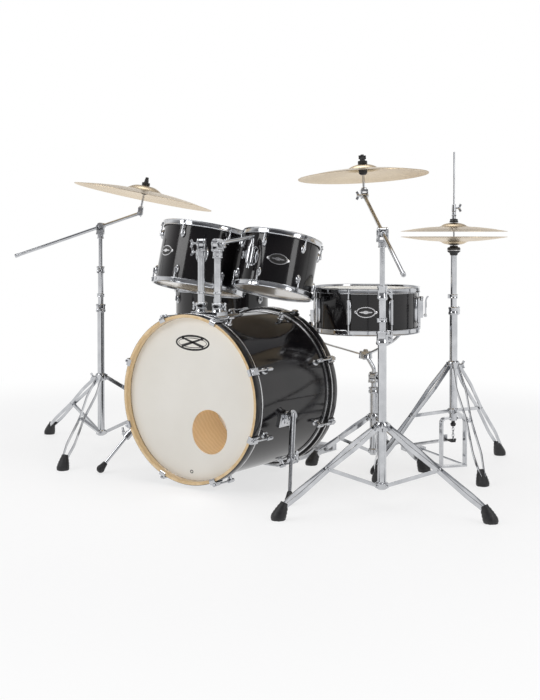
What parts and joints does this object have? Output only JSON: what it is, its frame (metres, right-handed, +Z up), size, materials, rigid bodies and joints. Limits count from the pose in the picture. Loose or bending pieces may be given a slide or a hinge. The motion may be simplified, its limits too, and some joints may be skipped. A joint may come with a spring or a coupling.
{
  "type": "acoustic drum kit",
  "caption": "Black lacquer fusion drum kit: bass drum, rack toms, floor tom, snare on stand, hi-hat, ride and crash on boom stands, and a bass pedal.",
  "frame": {"origin": "floor point under the centre of the kit's overall footprint", "axes": "+Z up; the bass drum's front head faces -Y; +X is the crash cymbal's side"},
  "size_m": [2.0494, 1.2578, 1.069],
  "materials": {
    "black_lacquer": "high gloss black lacquer",
    "chrome": "polished chrome plate",
    "pedal_steel": "satin cast aluminium and steel",
    "batter_film": "coated off-white drum film",
    "clear_film": "clear film over a maple shell",
    "bronze": "lathed satin bronze"
  },
  "bodies": {
    "kit": {"bass_shell": "black_lacquer", "bass_front_hoop": "black_lacquer", "bass_rear_hoop": "black_lacquer", "bass_front_head": "batter_film", "bass_batter_head": "batter_film", "tom_bracket": "chrome", "floor_tom_leg_1": "chrome", "floor_tom_leg_2": "chrome", "floor_tom_leg_3": "chrome", "snare_stand_base": "chrome", "hihat_base": "chrome", "ride_base": "chrome", "crash_base": "chrome", "pedal_base": "pedal_steel"},
    "spur_right": {"spur_right": "chrome"},
    "spur_left": {"spur_left": "chrome"},
    "tom12_post": {"tom12_post": "chrome"},
    "tom12_arm": {"tom12_arm": "chrome"},
    "tom12": {"tom12_shell": "black_lacquer", "tom12_batter_hoop": "chrome", "tom12_resonant_hoop": "chrome", "tom12_batter_head": "batter_film", "tom12_resonant_head": "clear_film"},
    "tom10_post": {"tom10_post": "chrome"},
    "tom10_arm": {"tom10_arm": "chrome"},
    "tom10": {"tom10_shell": "black_lacquer", "tom10_batter_hoop": "chrome", "tom10_resonant_hoop": "chrome", "tom10_batter_head": "batter_film", "tom10_resonant_head": "clear_film"},
    "floor_tom": {"floor_tom_shell": "black_lacquer", "floor_tom_batter_hoop": "chrome", "floor_tom_resonant_hoop": "chrome", "floor_tom_batter_head": "batter_film", "floor_tom_resonant_head": "clear_film"},
    "snare_stand_tube": {"snare_stand_tube": "chrome"},
    "snare": {"snare_basket": "chrome", "snare_shell": "black_lacquer", "snare_batter_hoop": "chrome", "snare_resonant_hoop": "chrome", "snare_batter_head": "batter_film", "snare_resonant_head": "clear_film"},
    "throw_off": {"snare_strainer_lever": "chrome"},
    "hihat_tube": {"hihat_tube": "chrome", "hihat_bottom_cymbal": "bronze"},
    "hihat_rod": {"hihat_rod": "chrome", "hihat_top_cymbal": "bronze"},
    "hihat_pedal": {"hihat_pedal": "pedal_steel"},
    "ride_mid_tube": {"ride_mid_tube": "chrome"},
    "ride_top_tube": {"ride_top_tube": "chrome"},
    "ride_boom": {"ride_boom": "chrome"},
    "ride_tilter": {"ride_tilter": "chrome"},
    "ride_cymbal": {"ride_cymbal": "bronze"},
    "crash_mid_tube": {"crash_mid_tube": "chrome"},
    "crash_top_tube": {"crash_top_tube": "chrome"},
    "crash_boom": {"crash_boom": "chrome"},
    "crash_tilter": {"crash_tilter": "chrome"},
    "crash_cymbal": {"crash_cymbal": "bronze"},
    "pedal_footboard": {"pedal_footboard": "pedal_steel"},
    "pedal_beater": {"pedal_beater": "pedal_steel"}
  },
  "joints": [
    {"name": "spur_right_fold", "type": "hinge", "parent": "kit", "child": "spur_right", "pos_m": [0.32892, -0.2793, 0.232], "axis": [0.9038, 0, 0.4279], "range_deg": [0, 115]},
    {"name": "spur_left_fold", "type": "hinge", "parent": "kit", "child": "spur_left", "pos_m": [-0.21908, -0.2793, 0.232], "axis": [0.9038, 0, -0.4279], "range_deg": [0, 115]},
    {"name": "tom12_height", "type": "slide", "parent": "kit", "child": "tom12_post", "axis": [0, 0, 1], "range_m": [-0.02, 0.04]},
    {"name": "tom12_tilt", "type": "hinge", "parent": "tom12_post", "child": "tom12_arm", "pos_m": [0.02192, -0.3443, 0.762], "axis": [0.8156, 0.5786, 0], "range_deg": [-3, 5]},
    {"name": "tom12_arm_slide", "type": "slide", "parent": "tom12_arm", "child": "tom12", "axis": [0.0498, 0.2159, 0.9751], "range_m": [-0.005, 0.01]},
    {"name": "tom10_height", "type": "slide", "parent": "kit", "child": "tom10_post", "axis": [0, 0, 1], "range_m": [-0.01, 0.04]},
    {"name": "tom10_tilt", "type": "hinge", "parent": "tom10_post", "child": "tom10_arm", "pos_m": [0.08792, -0.3443, 0.762], "axis": [0.9958, -0.0912, 0], "range_deg": [-2, 5]},
    {"name": "tom10_arm_slide", "type": "slide", "parent": "tom10_arm", "child": "tom10", "axis": [0.0405, 0.2556, 0.9659], "range_m": [-0.005, 0.01]},
    {"name": "floor_tom_height", "type": "slide", "parent": "kit", "child": "floor_tom", "axis": [0, 0, 1], "range_m": [-0.03, 0.05]},
    {"name": "snare_height", "type": "slide", "parent": "kit", "child": "snare_stand_tube", "axis": [0, 0, 1], "range_m": [-0.012, 0.02]},
    {"name": "snare_tilt", "type": "hinge", "parent": "snare_stand_tube", "child": "snare", "pos_m": [0.31692, 0.2397, 0.3], "axis": [1, 0, 0], "range_deg": [-8, 0]},
    {"name": "throw_off_lever", "type": "hinge", "parent": "snare", "child": "throw_off", "pos_m": [0.46142, 0.34262, 0.5105], "axis": [-0.5821, 0.8131, 0], "range_deg": [0, 80]},
    {"name": "hihat_height", "type": "slide", "parent": "kit", "child": "hihat_tube", "axis": [0, 0, 1], "range_m": [-0.02, 0.05]},
    {"name": "hihat_pedal_press", "type": "hinge", "parent": "kit", "child": "hihat_pedal", "pos_m": [0.35092, 0.49402, 0.025], "axis": [0.6018, 0.7986, 0], "range_deg": [0, 3.6], "stiffness_Nm_per_rad": 60, "springref_deg": -11.46},
    {"name": "hihat_rod_drop", "type": "slide", "parent": "hihat_tube", "child": "hihat_rod", "axis": [0, 0, -1], "range_m": [0, 0.0158]},
    {"name": "ride_lower_height", "type": "slide", "parent": "kit", "child": "ride_mid_tube", "axis": [0, 0, 1], "range_m": [-0.02, 0.06]},
    {"name": "ride_upper_height", "type": "slide", "parent": "ride_mid_tube", "child": "ride_top_tube", "axis": [0, 0, 1], "range_m": [-0.02, 0.06]},
    {"name": "ride_boom_tilt", "type": "hinge", "parent": "ride_top_tube", "child": "ride_boom", "pos_m": [-0.62708, -0.1303, 0.818], "axis": [0.5821, -0.8131, 0], "range_deg": [-8, 8]},
    {"name": "ride_tilter_tilt", "type": "hinge", "parent": "ride_boom", "child": "ride_tilter", "pos_m": [-0.50878, -0.0456, 0.868], "axis": [-0.5821, 0.8131, 0], "range_deg": [-10, 10]},
    {"name": "ride_spin", "type": "hinge", "parent": "ride_tilter", "child": "ride_cymbal", "pos_m": [-0.50878, -0.0456, 0.868], "axis": [0.137, 0.149, 0.9793], "continuous": true},
    {"name": "crash_lower_height", "type": "slide", "parent": "kit", "child": "crash_mid_tube", "axis": [0, 0, 1], "range_m": [-0.02, 0.06]},
    {"name": "crash_upper_height", "type": "slide", "parent": "crash_mid_tube", "child": "crash_top_tube", "axis": [0, 0, 1], "range_m": [-0.02, 0.06]},
    {"name": "crash_boom_tilt", "type": "hinge", "parent": "crash_top_tube", "child": "crash_boom", "pos_m": [0.66892, -0.3123, 0.798], "axis": [0.7399, 0.6728, 0], "range_deg": [-8, 8]},
    {"name": "crash_tilter_tilt", "type": "hinge", "parent": "crash_boom", "child": "crash_tilter", "pos_m": [0.48942, -0.1149, 0.912], "axis": [-0.7399, -0.6728, 0], "range_deg": [-10, 10]},
    {"name": "crash_spin", "type": "hinge", "parent": "crash_tilter", "child": "crash_cymbal", "pos_m": [0.48942, -0.1149, 0.912], "axis": [-0.076, 0.02, 0.9969], "continuous": true},
    {"name": "pedal_press", "type": "hinge", "parent": "kit", "child": "pedal_footboard", "pos_m": [0.05492, 0.3107, 0.024], "axis": [1, 0, 0], "range_deg": [0, 9], "stiffness_Nm_per_rad": 4, "springref_deg": -28.65},
    {"name": "beater_swing", "type": "hinge", "parent": "kit", "child": "pedal_beater", "pos_m": [0.05492, 0.0327, 0.19], "axis": [1, 0, 0], "range_deg": [0, 50], "stiffness_Nm_per_rad": 0.4, "springref_deg": -17.19}
  ],
  "couplings": [
    {"joint": "hihat_rod_drop", "follows": "hihat_pedal_press", "m_per_rad": 0.245},
    {"joint": "beater_swing", "follows": "pedal_press", "ratio": 5.5}
  ]
}
